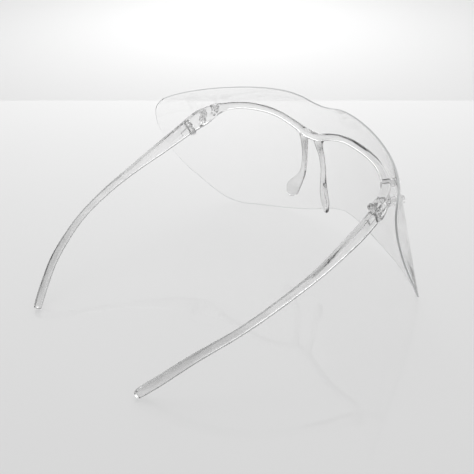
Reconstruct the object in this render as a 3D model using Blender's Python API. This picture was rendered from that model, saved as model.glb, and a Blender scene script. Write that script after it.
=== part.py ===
"""Clear face shield worn like spectacles.

A thin wrap-around sheet is riveted to a moulded spectacle front, and two
temples fold on pins at the ends of that front. It stands as it would on a
table: on the two low lobes of the sheet and on both temple tips.
Metres, +Z up, +Y towards where the wearer looks, +X on the wearer's right.
"""
import math

import bmesh
import bpy
from mathutils import Matrix, Vector

MM = 0.001

# ---- driving dimensions, in millimetres ----
JOINT_HALF_WIDTH = 66.3      # middle of the temple joint from the centre plane
JOINT_Y = 28.1               # joint, measured from the middle of the footprint
JOINT_Z = 57.0
STATION_Y = JOINT_Y + 2.1    # the stations below count Y from here
JOINT_LEAN = 29.5            # degrees that the temple joint leans back

SHEET_HALF_WIDTH = 86.5      # plan curve of the sheet, a superellipse
SHEET_DEPTH = 55.0
SHEET_POWER = 1.82
SHEET_LEAN = 19.5            # degrees that the sheet's straight lines lean back
SHEET_FRONT_Y = 84.3         # middle of the plan curve
SHEET_FRONT_Z = 13.0
SHEET_THICK = 0.9

FRONT_CORNER = 1.2           # edge rounding of the mouldings
NOSE_CORNER = 0.9
TEMPLE_CORNER = 1.0
TEMPLE_THICK = 3.1

PIN_RADIUS = 0.8
PIN_TIP = 0.55               # radius of the pin's lead-in
PIN_TIP_LENGTH = 0.25
PIN_HEAD = 1.3
PIN_HEAD_SIDE = 0.3
PIN_CROWN = 1.0
PIN_HEAD_THICK = 0.6
PIN_HOLE_RADIUS = 1.05
BARREL_RADIUS = 1.8
BARREL_CLEAR = 2.1
BARREL_INSET = 1.6           # hinge axis, inwards from the middle of the joint
KNUCKLE_HALF = 1.5           # half height of the temple's knuckle
SLOT_HALF = 1.8              # half height of the slot that it turns in
LUG_HALF = 4.1
WEB_STEP = 0.3               # a lug stands this much proud of the web behind it
JOINT_GAP = 0.3
# Webs that tie the barrels to the mouldings: how far they reach inwards from
# the hinge axis, outwards from the middle of the joint, and ahead of it.
LUG_WEB = {"inner": 1.1, "outer": 0.7, "ahead": (0.3, 4.4)}
KNUCKLE_WEB = {"inner": 0.3, "outer": 1.0, "ahead": (-6.0, 0.1)}
# Reach of the cutters round the joint, past everything that they trim.
CUT_OUT = 8.0
CUT_ALONG = 12.0
CUT_UP = 9.0

RIVET_TIP = 0.7
RIVET_TIP_LENGTH = 0.4
RIVET_SHANK = 1.0
RIVET_HOLE = 1.3
RIVET_HEAD = 1.8
RIVET_HEAD_SIDE = 0.3
RIVET_CROWN = 1.2
RIVET_HEAD_THICK = 0.9
BORE_SPARE = 3.0             # a rivet's bore runs this much past its tip
HOLE_CUT_HALF = 4.0
BOSS_RADIUS = 2.0
FIT_GAP = 0.3

SHEET_COLUMNS = 72           # grid of the sheet's faces
SHEET_ROWS = 16
FRONT_STEPS = 30
NOSE_STEPS = 24
TEMPLE_STEPS = 44
ROUND_STEPS = 24
PLAN_STEPS = 400
SHARP_ANGLE = 35

# Half outline of the flat sheet before it is wrapped: distance round the
# sheet from its middle, and height up its straight lines.
SHEET_TOP = [(0, 70.3), (6, 71.2), (13, 73.2), (22, 74.5), (36, 74.8), (54, 74.5),
             (70, 74.5), (86, 74.6), (93.5, 74.3)]
SHEET_SIDE = [(93.5, 74.3), (98, 71.6), (100.3, 66), (100.8, 57), (98.6, 43), (94, 29), (88.5, 17.4)]
SHEET_BOTTOM = [(88.5, 17.4), (80, 2.4), (70.5, -5.2), (60, -7.5), (48, -8.7),
                (36, -8.2), (23.5, -5.8), (11, -1.1), (0, 1.4)]

# Stations of the moulded front from its middle to the joint: x, y ahead of the
# joint, z, height, thickness.
FRONT_STATIONS = [
    (0.0, 24.3, 65.6, 4.2, 3.4),
    (5.0, 24.2, 66.1, 4.2, 3.4),
    (12.0, 23.4, 68.6, 3.5, 3.0),
    (23.2, 21.3, 71.7, 3.4, 3.0),
    (35.3, 19.1, 71.9, 3.7, 3.0),
    (45.7, 17.2, 70.3, 3.7, 3.0),
    (53.5, 14.3, 68.2, 3.9, 3.2),
    (59.2, 10.8, 65.5, 6.4, 3.8),
    (63.2, 6.4, 61.8, 9.0, 4.3),
    (65.4, 1.8, 59.0, 8.9, 4.4),
    (66.3, -2.1, 57.0, 8.6, 4.4),
]
# Stations of a nose arm from the bridge to its pad: x, y, z, width, thickness,
# and the degrees that its outer edge turns back.
NOSE_STATIONS = [
    (4.9, 24.2, 65.6, 7.0, 2.4, 0),
    (5.1, 24.3, 62.2, 4.4, 2.4, 0),
    (5.9, 25.8, 56.5, 3.0, 2.4, 4),
    (6.7, 26.8, 49.0, 2.8, 2.4, 8),
    (7.4, 26.5, 42.4, 3.4, 2.4, 12),
    (9.3, 25.3, 37.6, 5.6, 2.2, 18),
    (11.6, 24.3, 33.4, 7.6, 2.1, 22),
    (12.1, 24.3, 29.6, 6.0, 1.9, 24),
    (12.0, 24.5, 28.2, 3.2, 1.4, 24),
]
# Stations of a temple from the joint to its tip: y behind the joint line, x,
# middle z, height.
TEMPLE_STATIONS = [
    (-2.1, 66.3, 57.0, 8.6),
    (-10.0, 67.2, 53.2, 7.9),
    (-18.7, 67.7, 49.5, 7.1),
    (-37.3, 68.1, 42.0, 4.6),
    (-56.0, 66.5, 35.0, 3.5),
    (-74.7, 62.6, 27.1, 3.2),
    (-93.3, 54.4, 17.4, 3.9),
    (-104.0, 47.8, 9.0, 4.3),
    (-110.9, 42.7, 3.15, 4.3),
    (-112.6, 41.4, 1.25, 3.1),
]
# Rivets on one side: distance round the sheet, height up it, length of the
# boss that carries each one, and how far its tip is from the sheet's face.
RIVETS = [(66.5, 63.2, 4.4, 6.6), (75.0, 59.6, 7.4, 9.2)]


# ---- helpers ----
def clear_scene():
    for item in list(bpy.data.objects):
        bpy.data.objects.remove(item, do_unlink=True)


def plastic(name, colour, roughness):
    material = bpy.data.materials.new(name)
    material.use_nodes = True
    shader = material.node_tree.nodes["Principled BSDF"]
    shader.inputs["Base Color"].default_value = (*colour, 1.0)
    shader.inputs["Roughness"].default_value = roughness
    shader.inputs["Metallic"].default_value = 0.0
    material.diffuse_color = (*colour, 1.0)
    return material


def curve_at(points, place):
    """Point on a smooth curve through the points; place runs from 0 to 1."""
    count = len(points) - 1
    index = min(int(place * count), count - 1)
    part = place * count - index
    first = points[max(index - 1, 0)]
    a = points[index]
    b = points[index + 1]
    last = points[min(index + 2, count)]
    out = []
    for k in range(len(a)):
        start = (b[k] - first[k]) / 2
        end = (last[k] - a[k]) / 2
        cube = 2 * part ** 3 - 3 * part ** 2 + 1
        out.append(cube * a[k] + (1 - cube) * b[k]
                   + (part ** 3 - 2 * part ** 2 + part) * start
                   + (part ** 3 - part ** 2) * end)
    return out


def new_object(name, bm, material, origin=None):
    bmesh.ops.recalc_face_normals(bm, faces=bm.faces)
    mesh = bpy.data.meshes.new(name)
    if origin is not None:
        bm.transform(Matrix.Translation(-origin))
    bm.to_mesh(mesh)
    bm.free()
    mesh.shade_smooth()
    mesh.set_sharp_from_angle(angle=math.radians(SHARP_ANGLE))
    item = bpy.data.objects.new(name, mesh)
    bpy.context.collection.objects.link(item)
    if material:
        mesh.materials.append(material)
    if origin is not None:
        item.location = origin
    return item


def rounded_section(width, height, corner, steps=3):
    """Rounded rectangle, as (across, up) points in order."""
    corner = min(corner, width * 0.49, height * 0.49)
    points = []
    for quarter in range(4):
        sign_x = 1 if quarter in (0, 3) else -1
        sign_y = 1 if quarter in (0, 1) else -1
        centre_x = sign_x * (width / 2 - corner)
        centre_y = sign_y * (height / 2 - corner)
        for step in range(steps + 1):
            angle = math.pi / 2 * (quarter + step / steps)
            points.append((centre_x + corner * math.cos(angle),
                           centre_y + corner * math.sin(angle)))
    return points


def skin_rings(bm, rings):
    """Closed body through equal rings of points, with flat ends."""
    rows = [[bm.verts.new(point) for point in ring] for ring in rings]
    count = len(rows[0])
    for lower, upper in zip(rows[:-1], rows[1:]):
        for k in range(count):
            after = (k + 1) % count
            bm.faces.new((lower[k], lower[after], upper[after], upper[k]))
    bm.faces.new(list(reversed(rows[0])))
    bm.faces.new(rows[-1])


def turned(profile, base, axis):
    """Solid of revolution about axis from base; profile is (radius, along) in millimetres."""
    bm = bmesh.new()
    turn = axis.to_track_quat("Z", "X").to_matrix()
    rings = []
    for radius, along in profile:
        ring = []
        for step in range(ROUND_STEPS):
            angle = 2 * math.pi * step / ROUND_STEPS
            local = Vector((radius * math.cos(angle), radius * math.sin(angle), along))
            ring.append(base + turn @ local * MM)
        rings.append(ring)
    skin_rings(bm, rings)
    return bm


def cutter(name, bm):
    item = new_object(name, bm, None)
    item.hide_render = True
    item.display_type = "WIRE"
    return item


def boolean(item, other, operation):
    change = item.modifiers.new(operation.title(), "BOOLEAN")
    change.operation = operation
    change.solver = "EXACT"
    change.object = other


# ---- the sheet's surface ----
def plan_table():
    """Distance round the plan curve with its X and Y, in millimetres."""
    table = [(0.0, 0.0, SHEET_DEPTH)]
    for step in range(1, PLAN_STEPS + 1):
        angle = math.pi / 2 * step / PLAN_STEPS
        x = SHEET_HALF_WIDTH * math.sin(angle) ** (2 / SHEET_POWER)
        y = SHEET_DEPTH * max(math.cos(angle), 0.0) ** (2 / SHEET_POWER)
        gone, last_x, last_y = table[-1]
        table.append((gone + math.hypot(x - last_x, y - last_y), x, y))
    return table


PLAN = plan_table()


def sheet_point(around, up, lift=0.0):
    """World point on the sheet's outer face, lifted outwards, in metres."""
    distance = abs(around)
    index = 1
    while index < len(PLAN) - 1 and PLAN[index][0] < distance:
        index += 1
    low = PLAN[index - 1]
    high = PLAN[index]
    part = (distance - low[0]) / (high[0] - low[0])
    x = low[1] + (high[1] - low[1]) * part
    y = low[2] + (high[2] - low[2]) * part
    length = math.hypot(high[1] - low[1], high[2] - low[2])
    x += lift * (low[2] - high[2]) / length
    y += lift * (high[1] - low[1]) / length
    lean = math.radians(SHEET_LEAN)
    back = SHEET_DEPTH - y
    world_y = SHEET_FRONT_Y - back * math.cos(lean) - up * math.sin(lean)
    world_z = SHEET_FRONT_Z - back * math.sin(lean) + up * math.cos(lean)
    side = 1 if around >= 0 else -1
    return Vector((side * x, world_y, world_z)) * MM


def sheet_outward(around, up):
    return (sheet_point(around, up, 1.0) - sheet_point(around, up)).normalized()


def sheet_patch(across, high):
    """Flat place for a grid position; across runs from -1 to 1, high from 0 to 1."""
    side = abs(across)
    bottom = curve_at(SHEET_BOTTOM, 1 - side)
    top = curve_at(SHEET_TOP, side)
    edge = curve_at(SHEET_SIDE, 1 - high)
    middle = [0.0, SHEET_BOTTOM[-1][1] + (SHEET_TOP[0][1] - SHEET_BOTTOM[-1][1]) * high]
    corner_low = SHEET_BOTTOM[0]
    corner_high = SHEET_TOP[-1]
    mid_low = SHEET_BOTTOM[-1]
    mid_high = SHEET_TOP[0]
    flat = []
    for k in range(2):
        ruled_up = bottom[k] * (1 - high) + top[k] * high
        ruled_side = middle[k] * (1 - side) + edge[k] * side
        corners = ((mid_low[k] * (1 - side) + corner_low[k] * side) * (1 - high)
                   + (mid_high[k] * (1 - side) + corner_high[k] * side) * high)
        flat.append(ruled_up + ruled_side - corners)
    return (math.copysign(flat[0], across), flat[1])


def make_sheet(material):
    columns = SHEET_COLUMNS
    rows = SHEET_ROWS
    bm = bmesh.new()
    faces = []
    for lift in (0.0, -SHEET_THICK):
        grid = []
        for row in range(rows + 1):
            line = []
            for column in range(columns + 1):
                around, up = sheet_patch(2 * column / columns - 1, row / rows)
                line.append(bm.verts.new(sheet_point(around, up, lift)))
            grid.append(line)
        faces.append(grid)
    outer, inner = faces
    for row in range(rows):
        for column in range(columns):
            for grid, flip in ((outer, False), (inner, True)):
                quad = [grid[row][column], grid[row][column + 1],
                        grid[row + 1][column + 1], grid[row + 1][column]]
                bm.faces.new(list(reversed(quad)) if flip else quad)
    border = [(0, c) for c in range(columns)]
    border += [(r, columns) for r in range(rows)]
    border += [(rows, c) for c in range(columns, 0, -1)]
    border += [(r, 0) for r in range(rows, 0, -1)]
    for here, after in zip(border, border[1:] + border[:1]):
        bm.faces.new((outer[here[0]][here[1]], inner[here[0]][here[1]],
                      inner[after[0]][after[1]], outer[after[0]][after[1]]))
    sheet = new_object("shield_sheet", bm, material)
    for side in (1, -1):
        for around, up, _, _ in RIVETS:
            base = sheet_point(side * around, up, -HOLE_CUT_HALF)
            axis = sheet_outward(side * around, up)
            hole = turned([(RIVET_HOLE, 0), (RIVET_HOLE, 2 * HOLE_CUT_HALF)], base, axis)
            boolean(sheet, cutter("sheet_hole_cutter", hole), "DIFFERENCE")
    return sheet


# ---- swept mouldings ----
def swept(stations, sections, turns=None):
    """Body through stations; each section is (width, height, corner) in mm."""
    bm = bmesh.new()
    rings = []
    count = len(stations)
    for k, place in enumerate(stations):
        ahead = stations[min(k + 1, count - 1)]
        behind = stations[max(k - 1, 0)]
        along = (ahead - behind).normalized()
        side = along.cross(Vector((0, 0, 1))).normalized()
        if turns is not None:
            side = turns[k]
            side = (side - along * side.dot(along)).normalized()
        up = side.cross(along)
        width, height, corner = sections[k]
        ring = [(place + side * across + up * rise) * MM
                for across, rise in rounded_section(width, height, corner)]
        rings.append(ring)
    skin_rings(bm, rings)
    return bm


def joint_turn():
    """Rotation from joint axes (out, forward, up the pin) to the world."""
    return Matrix.Rotation(math.radians(JOINT_LEAN), 3, "X")


def joint_point(side, out, forward, up):
    """Point given from the middle of a temple joint, in millimetres."""
    local = joint_turn() @ Vector((out, forward, up))
    place = Vector((JOINT_HALF_WIDTH, JOINT_Y, JOINT_Z)) + local
    place.x *= side
    return place * MM


def joint_axis():
    return joint_turn() @ Vector((0, 0, 1))


def joint_box(side, outs, forwards, ups):
    bm = bmesh.new()
    corners = [[joint_point(side, out, forward, up)
                for out, forward in ((outs[0], forwards[0]), (outs[1], forwards[0]),
                                     (outs[1], forwards[1]), (outs[0], forwards[1]))]
               for up in ups]
    skin_rings(bm, corners)
    return bm


def barrel(side, radius, low, high):
    base = joint_point(side, -BARREL_INSET, 0, low)
    return turned([(radius, 0), (radius, high - low)], base, joint_axis())


def front_sweep():
    half = []
    for step in range(FRONT_STEPS + 1):
        half.append(curve_at(FRONT_STATIONS, step / FRONT_STEPS))
    full = [[-s[0]] + s[1:] for s in reversed(half[1:])] + half
    stations = [Vector((s[0], s[1] + STATION_Y, s[2])) for s in full]
    sections = [(s[4], s[3], FRONT_CORNER) for s in full]
    return swept(stations, sections)


def nose_arm(side):
    stations = []
    sections = []
    turns = []
    for step in range(NOSE_STEPS + 1):
        x, y, z, width, thick, turn = curve_at(NOSE_STATIONS, step / NOSE_STEPS)
        stations.append(Vector((side * x, y + STATION_Y, z)))
        sections.append((width, thick, NOSE_CORNER))
        angle = math.radians(turn)
        turns.append(Vector((side * math.cos(angle), -math.sin(angle), 0)))
    return swept(stations, sections, turns)


def web_box(side, web, half):
    outs = (-BARREL_INSET - web["inner"], web["outer"])
    return joint_box(side, outs, web["ahead"], (-half, half))


def cut_at_joint(item, side, forwards):
    """Trims a moulding off square at its joint."""
    ends = joint_box(side, (-CUT_OUT, CUT_OUT), forwards, (-CUT_UP, CUT_UP))
    boolean(item, cutter("joint_cutter", ends), "DIFFERENCE")


def cut_pin_hole(item, side):
    hole = barrel(side, PIN_HOLE_RADIUS, -CUT_UP, CUT_UP)
    boolean(item, cutter("pin_hole_cutter", hole), "DIFFERENCE")


def add_lugs(front, side):
    lug = barrel(side, BARREL_RADIUS, -LUG_HALF, LUG_HALF)
    boolean(front, cutter("lug_body", lug), "UNION")
    web = web_box(side, LUG_WEB, LUG_HALF - WEB_STEP)
    boolean(front, cutter("web_body", web), "UNION")
    slot = barrel(side, BARREL_CLEAR, -SLOT_HALF, SLOT_HALF)
    boolean(front, cutter("slot_cutter", slot), "DIFFERENCE")
    cut_pin_hole(front, side)


def add_bosses(front, side):
    for around, up, depth, shank in RIVETS:
        axis = sheet_outward(side * around, up)
        foot = sheet_point(side * around, up, -SHEET_THICK - FIT_GAP)
        post = turned([(BOSS_RADIUS, 0), (BOSS_RADIUS, depth)], foot, -axis)
        boolean(front, cutter("boss_body", post), "UNION")
        mouth = sheet_point(side * around, up)
        bore = turned([(RIVET_HOLE, 0), (RIVET_HOLE, shank + BORE_SPARE)], mouth, -axis)
        boolean(front, cutter("rivet_bore_cutter", bore), "DIFFERENCE")


def make_front(material):
    front = new_object("front_frame", front_sweep(), material)
    for side in (1, -1):
        boolean(front, cutter("nose_arm_body", nose_arm(side)), "UNION")
        cut_at_joint(front, side, (-CUT_ALONG, JOINT_GAP / 2))
        add_lugs(front, side)
    for side in (1, -1):
        add_bosses(front, side)
    return front


def make_temple(side, material):
    name = "temple_right" if side > 0 else "temple_left"
    stations = []
    sections = []
    for step in range(TEMPLE_STEPS + 1):
        y, x, z, height = curve_at(TEMPLE_STATIONS, step / TEMPLE_STEPS)
        stations.append(Vector((side * x, y + STATION_Y, z)))
        sections.append((TEMPLE_THICK, height, TEMPLE_CORNER))
    axis_point = joint_point(side, -BARREL_INSET, 0, 0)
    arm = new_object(name, swept(stations, sections), material, origin=axis_point)
    cut_at_joint(arm, side, (-JOINT_GAP / 2, CUT_ALONG))
    for low, high in ((KNUCKLE_HALF, CUT_UP), (-CUT_UP, -KNUCKLE_HALF)):
        clearance = barrel(side, BARREL_CLEAR, low, high)
        boolean(arm, cutter("lug_clearance_cutter", clearance), "DIFFERENCE")
    knuckle = barrel(side, BARREL_RADIUS, -KNUCKLE_HALF, KNUCKLE_HALF)
    boolean(arm, cutter("knuckle_body", knuckle), "UNION")
    web = web_box(side, KNUCKLE_WEB, KNUCKLE_HALF - WEB_STEP / 2)
    boolean(arm, cutter("web_body", web), "UNION")
    cut_pin_hole(arm, side)
    return arm


def make_pin(side, material):
    name = "hinge_pin_right" if side > 0 else "hinge_pin_left"
    base = joint_point(side, -BARREL_INSET, 0, -LUG_HALF)
    head = LUG_HALF * 2 + FIT_GAP
    profile = [(PIN_TIP, 0), (PIN_RADIUS, PIN_TIP_LENGTH), (PIN_RADIUS, head),
               (PIN_HEAD, head), (PIN_HEAD, head + PIN_HEAD_SIDE),
               (PIN_CROWN, head + PIN_HEAD_THICK)]
    return new_object(name, turned(profile, base, joint_axis()), material, origin=base)


def make_rivet(side, index, material):
    name = ("shield_rivet_front", "shield_rivet_side")[index]
    name += "_right" if side > 0 else "_left"
    around, up, _, shank = RIVETS[index]
    axis = sheet_outward(side * around, up)
    neck = shank + FIT_GAP
    base = sheet_point(side * around, up, -shank)
    profile = [(RIVET_TIP, 0), (RIVET_SHANK, RIVET_TIP_LENGTH), (RIVET_SHANK, neck),
               (RIVET_HEAD, neck), (RIVET_HEAD, neck + RIVET_HEAD_SIDE),
               (RIVET_CROWN, neck + RIVET_HEAD_THICK)]
    return new_object(name, turned(profile, base, axis), material, origin=base)


def main():
    clear_scene()
    make_sheet(plastic("clear sheet", (0.86, 0.88, 0.89), 0.06))
    make_front(plastic("clear front", (0.80, 0.82, 0.83), 0.12))
    for side in (1, -1):
        make_temple(side, plastic("clear temple", (0.78, 0.80, 0.81), 0.12))
        make_pin(side, plastic("hinge pin", (0.62, 0.63, 0.64), 0.30))
        for index in range(len(RIVETS)):
            make_rivet(side, index, plastic("clear rivet", (0.72, 0.74, 0.75), 0.15))


main()
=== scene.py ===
"""Looks of the clear face shield: clear plastics, a pale glossy table and soft studio light.

Every visible piece is made from its CAD node's own faces: they are welded, the moulded
edges are rounded, and the finish follows the length of the piece.
"""
import math

import bmesh
import bpy
import numpy as np
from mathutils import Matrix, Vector


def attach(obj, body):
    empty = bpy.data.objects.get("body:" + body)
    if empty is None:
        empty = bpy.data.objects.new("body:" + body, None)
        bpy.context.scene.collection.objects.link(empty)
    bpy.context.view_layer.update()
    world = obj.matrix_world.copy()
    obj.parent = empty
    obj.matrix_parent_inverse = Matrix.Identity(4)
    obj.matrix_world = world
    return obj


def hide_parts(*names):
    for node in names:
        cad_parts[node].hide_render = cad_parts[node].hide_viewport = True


# ---- camera ----
CAMERA_PLACE = (0.2684, -0.2218, 0.2202)
CAMERA_AZIMUTH = math.radians(49.68)
CAMERA_PITCH = math.radians(28.95)
CAMERA_LENS = 63.0
CAMERA_SENSOR = 36.0
CAMERA_CLIP = (0.01, 50)
AHEAD = Vector((-math.sin(CAMERA_AZIMUTH), math.cos(CAMERA_AZIMUTH), 0))
ASIDE = Vector((math.cos(CAMERA_AZIMUTH), math.sin(CAMERA_AZIMUTH), 0))

# ---- table and ground ----
TABLE_BEYOND = 0.27      # far edge of the table sheet, past the middle of the object
TABLE_NEAR = 1.6
TABLE_HALF = 1.3
TABLE_FINISH = {"tone": 0.735, "rough": 0.02, "specular": 0.38}
GROUND_DROP = 0.002
GROUND_HALF = 8.0
GROUND_FINISH = {"tone": 0.65, "rough": 0.5, "specular": 0.3}

# ---- studio light; turns are cosines from AHEAD, heights are sines ----
STUDIO_TURNS = (-0.2, 1.0)
STUDIO_TONES = (0.56, 0.93)     # towards the camera, and straight ahead of it
SIDE_TURNS = (0.82, 0.98)
SIDE_TONE = 0.89                # the backdrop is this much dimmer away from its middle
STRIP_TOP = 0.2                 # how high the bright strip behind the table reaches
STRIP_FADE = 0.7                # the strip is at full strength up to this part of its height
STRIP_TONE = 1.6
STRIP_TURN = math.radians(18)
STRIP_ENDS = (0.72, 0.86)
ROOF_START = 0.74               # the studio darkens above this height
ROOF_END = 0.87
ROOF_TONE = 0.84
SOFT_TONE = 0.51                # even light that the table and the ground receive
LAMPS = (
    {"name": "overhead", "ahead": 0.55, "height": 1.15, "aim": 0.0, "size": (1.0, 0.8), "power": 8.6},
    {"name": "glow", "ahead": 0.54, "height": 0.3, "aim": 0.42, "size": (0.16, 0.16), "power": 0.66},
)

# ---- refining ----
WELD = 1e-6
FLAT_PAIR = math.radians(12)    # two triangles that meet within this become one quad
QUAD_SKEW = math.radians(60)
SHARP = math.radians(35)
EDGE_CREASE = 0.85
ROUNDING = 2                    # subdivision levels of the moulded pieces
SLICES = 40                     # along a moulding, for its centre line
SLICE_POINTS = 4                # a slice with fewer points is left out
RIM_CORNER = math.radians(60)   # the cut edge meets the sheet's faces at more than this
RIM_WIDTH = 0.00095             # no face of the cut edge is wider than this

# ---- clear plastics ----
# Tones below 1 take away some of the light each time it passes through the skin. "flow" and
# "scratch" are bumps: how fine they are along x, y and z, how strong and how deep. "edge" is
# where the painted shade of the turned-away skin starts, and its tone: dark outlines painted
# into the colour. "foot" is the tone of the painted shade on the undersides. The looks with
# "along" follow a moulding: "band" is the depth and tone of the painted shade along its top
# band, "low" the tone of what hangs far below its top, and "end" the tone of the painted shade
# at a temple's far end.
LOOKS = {
    "sheet": {
        "flow": {"scale": (26.0, 26.0, 26.0), "strength": 0.12, "depth": 0.0004},
        "scratch": {"scale": (900.0, 900.0, 900.0), "strength": 0.06, "depth": 0.00004},
        "rough": (0.0, 0.03), "colour": 0.992, "edge": (0.15, 0.8), "foot": 1.0,
        "streak": 1.0, "shade": 0.98, "along": None,
    },
    "front": {
        "flow": {"scale": (60.0, 900.0, 900.0), "strength": 0.35, "depth": 0.0001},
        "scratch": {"scale": (700.0, 2500.0, 2500.0), "strength": 0.1, "depth": 0.00003},
        "rough": (0.01, 0.06), "colour": 0.975, "edge": (0.3, 0.9), "foot": 0.35,
        "streak": 0.95, "shade": 0.94,
        "along": {"band": (0.0022, 1.0), "low": 0.94, "end": 1.0},
    },
    "temple": {
        "flow": {"scale": (1100.0, 30.0, 1100.0), "strength": 0.5, "depth": 0.0001},
        "scratch": {"scale": (2500.0, 500.0, 2500.0), "strength": 0.1, "depth": 0.00003},
        "rough": (0.01, 0.06), "colour": 0.975, "edge": (0.4, 0.95), "foot": 1.0,
        "streak": 0.88, "shade": 0.94,
        "along": {"band": (0.0022, 0.98), "low": 1.0, "end": 0.89},
    },
    "small": {
        "flow": {"scale": (700.0, 700.0, 700.0), "strength": 0.2, "depth": 0.0001},
        "scratch": {"scale": (2500.0, 2500.0, 2500.0), "strength": 0.15, "depth": 0.00003},
        "rough": (0.04, 0.12), "colour": 0.965, "edge": (0.6, 0.6), "foot": 1.0,
        "streak": 0.95, "shade": 0.94, "along": None,
    },
}
PLASTIC_IOR = 1.5
SCRATCH_DETAIL = 4.0
HAZE_SPAN = (0.35, 0.8)         # the scratch noise that turns into haze
STREAK_SPAN = (0.4, 0.6)        # the flow noise that turns into streaks
UNDERSIDE_SHADE_SPAN = (-0.5, 0.05)        # upward part of the normal where the painted underside shade fades out
BLOCK_SPAN = (0.054, 0.058)     # past this |x| lie the end blocks, which get no painted underside shade
END_SPAN = (-0.065, -0.03)      # y of the stretch where the painted shade of a temple's far end begins
END_POWER = 2.5                 # how much stronger the painted end shade is in the top band
BAND_FADE = 0.4                 # part of the top band's depth where its painted shade is at full strength
LOW_SPAN = (-0.026, -0.012)
RIM_COLOUR = (0.62, 0.63, 0.63, 1)
RIM_GRAIN = {"scale": (2500.0, 2500.0, 2500.0), "strength": 0.5, "depth": 0.0001}
RIM_GRAIN_DETAIL = 3.0
RIM_GRAIN_SPAN = (0.3, 0.7)
RIM_ROUGH = (0.45, 0.7)
RIM_CLEAR = 0.15
RIM_SPECULAR = 0.2
RIM_SHADE = 0.9


# ---- node helpers ----
def new_material(name):
    mat = bpy.data.materials.new(name)
    mat.use_nodes = True
    mat.node_tree.nodes.clear()
    return mat, mat.node_tree


def add(tree, kind, inputs=None, **settings):
    made = tree.nodes.new(kind)
    for key, value in settings.items():
        setattr(made, key, value)
    for key, value in (inputs or {}).items():
        if isinstance(value, bpy.types.NodeSocket):
            tree.links.new(value, made.inputs[key])
        else:
            made.inputs[key].default_value = value
    return made


def calculate(tree, operation, *values):
    made = add(tree, "ShaderNodeMath", dict(enumerate(values)), operation=operation)
    return made.outputs["Value"]


def ramp(tree, value, span, tones, blend="LINEAR"):
    """Goes from the first tone to the second while the value crosses the span."""
    made = add(tree, "ShaderNodeMapRange", {
        "Value": value, "From Min": span[0], "From Max": span[1],
        "To Min": tones[0], "To Max": tones[1]}, interpolation_type=blend)
    return made.outputs["Result"]


def one_part(tree, vector, axis):
    return add(tree, "ShaderNodeSeparateXYZ", {"Vector": vector}).outputs[axis]


def stretched_noise(tree, source, scale, detail=2.0):
    place = add(tree, "ShaderNodeVectorMath", {0: source, 1: scale}, operation="MULTIPLY")
    made = add(tree, "ShaderNodeTexNoise", {"Vector": place.outputs[0], "Scale": 1.0, "Detail": detail})
    return made.outputs["Fac"]


def bump(tree, height, relief, below=None):
    inputs = {"Height": height, "Strength": relief["strength"], "Distance": relief["depth"]}
    if below:
        inputs["Normal"] = below
    return add(tree, "ShaderNodeBump", inputs).outputs["Normal"]


def let_light_through(tree, shell, shade):
    """Soft light reaches the table through the plastic with no bright caustics."""
    through = add(tree, "ShaderNodeBsdfTransparent", {"Color": (shade, shade, shade, 1)})
    path = add(tree, "ShaderNodeLightPath")
    soft = add(tree, "ShaderNodeMixShader", {
        0: path.outputs["Is Diffuse Ray"], 1: shell.outputs[0], 2: through.outputs[0]})
    mix = add(tree, "ShaderNodeMixShader", {
        0: path.outputs["Is Shadow Ray"], 1: soft.outputs[0], 2: through.outputs[0]})
    add(tree, "ShaderNodeOutputMaterial", {"Surface": mix.outputs[0]})


# ---- materials ----
def along_shade_and_tone(tree, source, along):
    """Colour of a moulding by its straightened place: painted shade in its top band and at its far end,
    and the tone of its hanging parts.
    """
    height = one_part(tree, source, "Z")
    # Painted shade at a temple's far end.
    end = ramp(tree, one_part(tree, source, "Y"), END_SPAN, (along["end"], 1.0))
    depth, tone = along["band"]
    top = calculate(tree, "MULTIPLY", calculate(tree, "POWER", end, END_POWER), tone)
    # Painted shade along the top band of the moulding.
    band = ramp(tree, height, (-depth, -depth * BAND_FADE), (1.0, top))
    low = ramp(tree, height, LOW_SPAN, (along["low"], 1.0))
    return calculate(tree, "MULTIPLY", calculate(tree, "MULTIPLY", band, low), end)


def underside_shade(tree, source, tone):
    """Painted shade on the faces that look down, apart from those of the end blocks."""
    normal = add(tree, "ShaderNodeNewGeometry").outputs["Normal"]
    foot = ramp(tree, one_part(tree, normal, "Z"), UNDERSIDE_SHADE_SPAN, (tone, 1.0))
    aside = calculate(tree, "ABSOLUTE", one_part(tree, source, "X"))
    block = ramp(tree, aside, BLOCK_SPAN, (0.0, 1.0))
    return calculate(tree, "MAXIMUM", foot, block)


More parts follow.
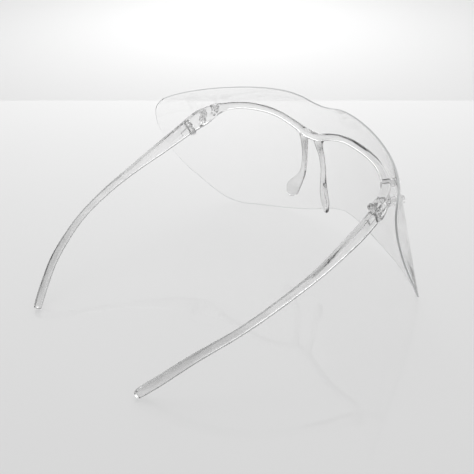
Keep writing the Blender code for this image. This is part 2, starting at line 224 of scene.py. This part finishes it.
def clear_plastic(name, look):
    """Clear plastic with flow lines, faint haze and fine scratches; painted shade darkens its outlines,
    undersides, top bands and far ends.
    """
    mat, tree = new_material(name)
    if look["along"]:
        source = add(tree, "ShaderNodeAttribute", attribute_name="straight").outputs["Vector"]
    else:
        source = add(tree, "ShaderNodeTexCoord").outputs["Object"]
    flow = stretched_noise(tree, source, look["flow"]["scale"])
    scratch = stretched_noise(tree, source, look["scratch"]["scale"], SCRATCH_DETAIL)
    marks = bump(tree, scratch, look["scratch"], bump(tree, flow, look["flow"]))
    facing = add(tree, "ShaderNodeLayerWeight", {"Blend": 0.5, "Normal": marks}).outputs["Facing"]
    # Painted shade: the colour darkens where the skin turns away from the view, drawing dark outlines.
    turned, outline_shade_tone = look["edge"]
    colour_and_shade = ramp(tree, facing, (turned, 1.0), (look["colour"], outline_shade_tone), "SMOOTHSTEP")
    # Painted shade in the top band and at the far end of a moulding, and the tone of its hanging parts.
    if look["along"]:
        colour_and_shade = calculate(tree, "MULTIPLY", colour_and_shade, along_shade_and_tone(tree, source, look["along"]))
    # Painted shade on the undersides, but not on the end blocks.
    colour_and_shade = calculate(tree, "MULTIPLY", colour_and_shade, underside_shade(tree, source, look["foot"]))
    colour_and_shade = calculate(tree, "MULTIPLY", colour_and_shade, ramp(tree, flow, STREAK_SPAN, (look["streak"], 1.0)))
    shell = add(tree, "ShaderNodeBsdfPrincipled", {
        "Base Color": colour_and_shade, "Transmission Weight": 1.0, "IOR": PLASTIC_IOR,
        "Roughness": ramp(tree, scratch, HAZE_SPAN, look["rough"]), "Normal": marks})
    let_light_through(tree, shell, look["shade"])
    return mat


def cut_edge(name):
    """Die-cut edge of the sheet: fine saw-like grain that scatters the light to a pale grey."""
    mat, tree = new_material(name)
    source = add(tree, "ShaderNodeTexCoord").outputs["Object"]
    grain = stretched_noise(tree, source, RIM_GRAIN["scale"], RIM_GRAIN_DETAIL)
    shell = add(tree, "ShaderNodeBsdfPrincipled", {
        "Base Color": RIM_COLOUR, "Transmission Weight": RIM_CLEAR, "IOR": PLASTIC_IOR,
        "Specular IOR Level": RIM_SPECULAR,
        "Roughness": ramp(tree, grain, RIM_GRAIN_SPAN, RIM_ROUGH),
        "Normal": bump(tree, grain, RIM_GRAIN)})
    let_light_through(tree, shell, RIM_SHADE)
    return mat


def pale(name, finish):
    mat, tree = new_material(name)
    tone = finish["tone"]
    shader = add(tree, "ShaderNodeBsdfPrincipled", {
        "Base Color": (tone, tone, tone, 1), "Roughness": finish["rough"],
        "Specular IOR Level": finish["specular"]})
    add(tree, "ShaderNodeOutputMaterial", {"Surface": shader.outputs[0]})
    return mat


# ---- pieces ----
def weld(node):
    """The CAD node's faces as one welded mesh of mostly quads, with its sharp edges creased."""
    bm = bmesh.new()
    bm.from_mesh(node.data)
    bmesh.ops.remove_doubles(bm, verts=bm.verts, dist=WELD)
    bmesh.ops.join_triangles(bm, faces=bm.faces, angle_face_threshold=FLAT_PAIR,
                             angle_shape_threshold=QUAD_SKEW)
    bmesh.ops.recalc_face_normals(bm, faces=bm.faces)
    crease = bm.edges.layers.float.new("crease_edge")
    for edge in bm.edges:
        if len(edge.link_faces) == 2 and edge.calc_face_angle() > SHARP:
            edge[crease] = EDGE_CREASE
    return bm


def add_piece(name, bm, body, node, materials, rounding=ROUNDING):
    mesh = bpy.data.meshes.new(name)
    bm.to_mesh(mesh)
    bm.free()
    mesh.shade_smooth()
    if not rounding:
        mesh.set_sharp_from_angle(angle=SHARP)
    for mat in materials:
        mesh.materials.append(mat)
    piece = bpy.data.objects.new(name, mesh)
    bpy.context.scene.collection.objects.link(piece)
    if rounding:
        rounder = piece.modifiers.new("rounder", "SUBSURF")
        rounder.levels = rounding
        rounder.render_levels = rounding
    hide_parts(node)
    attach(piece, body)


def centre_line(bm, axis):
    """Middle of the top of each slice of a long piece along axis, for straightening it."""
    points = np.array([v.co for v in bm.verts])
    low = points[:, axis].min()
    high = points[:, axis].max()
    places = []
    middles = []
    for step in range(SLICES):
        start = low + (high - low) * step / SLICES
        end = low + (high - low) * (step + 1) / SLICES
        inside = points[(points[:, axis] >= start) & (points[:, axis] <= end)]
        if len(inside) < SLICE_POINTS:
            continue
        middle = (inside.min(axis=0) + inside.max(axis=0)) / 2
        middle[2] = inside[:, 2].max()
        places.append((start + end) / 2)
        middles.append(middle)
    return np.array(places), np.array(middles)


def straighten(bm, axis):
    """Stores each vertex's place on the straightened piece, for streaks that follow its length."""
    places, middles = centre_line(bm, axis)
    layer = bm.verts.layers.float_vector.new("straight")
    for vert in bm.verts:
        straight = Vector(vert.co)
        for k in range(3):
            if k != axis:
                straight[k] -= np.interp(vert.co[axis], places, middles[:, k])
        vert[layer] = straight


def mark_rim(bm):
    """Gives the sheet's cut edge the second material.

    A face between two corners of the sheet belongs to the cut edge, and so does a narrow
    face that carries on from it.
    """
    bm.normal_update()
    corners = {edge for edge in bm.edges
               if len(edge.link_faces) == 2 and edge.calc_face_angle() > RIM_CORNER}
    between = [face for face in bm.faces if sum(1 for edge in face.edges if edge in corners) >= 2]
    for face in between:
        face.material_index = 1
    for face in between:
        for edge in face.edges:
            if edge in corners:
                continue
            for other in edge.link_faces:
                longest = max(side.calc_length() for side in other.edges)
                if other.calc_area() < longest * RIM_WIDTH:
                    other.material_index = 1


def make_pieces(frame):
    nodes = frame["nodes"]
    skins = {kind: clear_plastic("clear_" + kind + "_skin", look) for kind, look in LOOKS.items()}

    bm = weld(nodes["shield_sheet"])
    mark_rim(bm)
    add_piece("sheet_clear", bm, "front", "shield_sheet",
              [skins["sheet"], cut_edge("sheet_cut_edge")], 0)

    bm = weld(nodes["front_frame"])
    straighten(bm, 0)
    add_piece("front_moulding", bm, "front", "front_frame", [skins["front"]])

    for side in ("right", "left"):
        bm = weld(nodes["temple_" + side])
        straighten(bm, 1)
        add_piece("temple_arm_" + side, bm, "temple_" + side + "_body", "temple_" + side,
                  [skins["temple"]])
        bm = weld(nodes["hinge_pin_" + side])
        add_piece("pin_" + side, bm, "front", "hinge_pin_" + side, [skins["small"]])
        for place in ("front", "side"):
            node = "shield_rivet_" + place + "_" + side
            bm = weld(nodes[node])
            add_piece("rivet_" + place + "_" + side, bm, "front", node,
                      [skins["small"]])


# ---- stage ----
def flat_panel(name, corners, mat):
    mesh = bpy.data.meshes.new(name)
    mesh.from_pydata([tuple(c) for c in corners], [], [(0, 1, 2, 3)])
    mesh.materials.append(mat)
    made = bpy.data.objects.new(name, mesh)
    bpy.context.scene.collection.objects.link(made)


def make_stage():
    ends = ((-TABLE_NEAR, -TABLE_HALF), (-TABLE_NEAR, TABLE_HALF),
            (TABLE_BEYOND, TABLE_HALF), (TABLE_BEYOND, -TABLE_HALF))
    flat_panel("table", [AHEAD * a + ASIDE * s for a, s in ends], pale("table_sheet", TABLE_FINISH))
    far = GROUND_HALF
    drop = -GROUND_DROP
    flat_panel("ground", [(-far, -far, drop), (far, -far, drop), (far, far, drop), (-far, far, drop)],
               pale("ground_paper", GROUND_FINISH))


def make_lamp(lamp):
    """A lamp that lights the table but is not seen or mirrored itself."""
    data = bpy.data.lights.new(lamp["name"], "AREA")
    data.shape = "RECTANGLE"
    data.size, data.size_y = lamp["size"]
    data.energy = lamp["power"]
    made = bpy.data.objects.new(lamp["name"], data)
    bpy.context.scene.collection.objects.link(made)
    place = AHEAD * lamp["ahead"] + Vector((0, 0, lamp["height"]))
    made.location = place
    made.rotation_mode = "QUATERNION"
    made.rotation_quaternion = (AHEAD * lamp["aim"] - place).to_track_quat("-Z", "Y")
    made.visible_camera = False
    made.visible_glossy = False
    made.visible_transmission = False


def turn_from(tree, way, heading):
    """Cosine between the way a ray goes and a heading."""
    made = add(tree, "ShaderNodeVectorMath", {0: way, 1: tuple(heading)}, operation="DOT_PRODUCT")
    return made.outputs["Value"]


def make_world():
    """Studio round the table: bright behind the object, dim towards the camera."""
    world = bpy.data.worlds.new("studio")
    bpy.context.scene.world = world
    world.use_nodes = True
    tree = world.node_tree
    tree.nodes.clear()
    way = add(tree, "ShaderNodeTexCoord").outputs["Generated"]
    ahead = turn_from(tree, way, AHEAD)
    height = one_part(tree, way, "Z")
    tone = calculate(tree, "MULTIPLY", ramp(tree, ahead, STUDIO_TURNS, STUDIO_TONES, "SMOOTHSTEP"),
                     ramp(tree, ahead, SIDE_TURNS, (SIDE_TONE, 1.0), "SMOOTHSTEP"))
    roof = ramp(tree, height, (ROOF_START, ROOF_END), (1.0, ROOF_TONE), "SMOOTHSTEP")
    strip_way = AHEAD * math.cos(STRIP_TURN) + ASIDE * math.sin(STRIP_TURN)
    narrow = ramp(tree, turn_from(tree, way, strip_way), STRIP_ENDS, (0.0, 1.0), "SMOOTHSTEP")
    low = ramp(tree, height, (STRIP_TOP * STRIP_FADE, STRIP_TOP), (STRIP_TONE, 0.0), "SMOOTHSTEP")
    total = calculate(tree, "ADD", calculate(tree, "MULTIPLY", tone, roof),
                      calculate(tree, "MULTIPLY", low, narrow))
    sharp = add(tree, "ShaderNodeBackground", {"Color": total})
    even = add(tree, "ShaderNodeBackground", {"Color": (SOFT_TONE, SOFT_TONE, SOFT_TONE, 1)})
    path = add(tree, "ShaderNodeLightPath")
    mix = add(tree, "ShaderNodeMixShader", {
        0: path.outputs["Is Diffuse Ray"], 1: sharp.outputs[0], 2: even.outputs[0]})
    add(tree, "ShaderNodeOutputWorld", {"Surface": mix.outputs[0]})


def make_camera():
    data = bpy.data.cameras.new("camera")
    data.lens = CAMERA_LENS
    data.sensor_width = CAMERA_SENSOR
    data.clip_start, data.clip_end = CAMERA_CLIP
    camera = bpy.data.objects.new("camera", data)
    bpy.context.scene.collection.objects.link(camera)
    camera.location = CAMERA_PLACE
    camera.rotation_euler = (math.pi / 2 - CAMERA_PITCH, 0, CAMERA_AZIMUTH)
    bpy.context.scene.camera = camera


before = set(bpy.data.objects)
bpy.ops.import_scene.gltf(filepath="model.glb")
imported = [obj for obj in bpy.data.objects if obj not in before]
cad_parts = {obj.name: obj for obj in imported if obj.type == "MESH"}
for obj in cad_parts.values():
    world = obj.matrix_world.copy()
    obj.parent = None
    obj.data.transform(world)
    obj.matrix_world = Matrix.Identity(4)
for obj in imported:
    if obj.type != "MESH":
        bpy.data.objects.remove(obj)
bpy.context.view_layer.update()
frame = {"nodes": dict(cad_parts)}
make_pieces(frame)
make_stage()
make_world()
for lamp in LAMPS:
    make_lamp(lamp)
make_camera()
bpy.context.scene.view_settings.view_transform = "Standard"
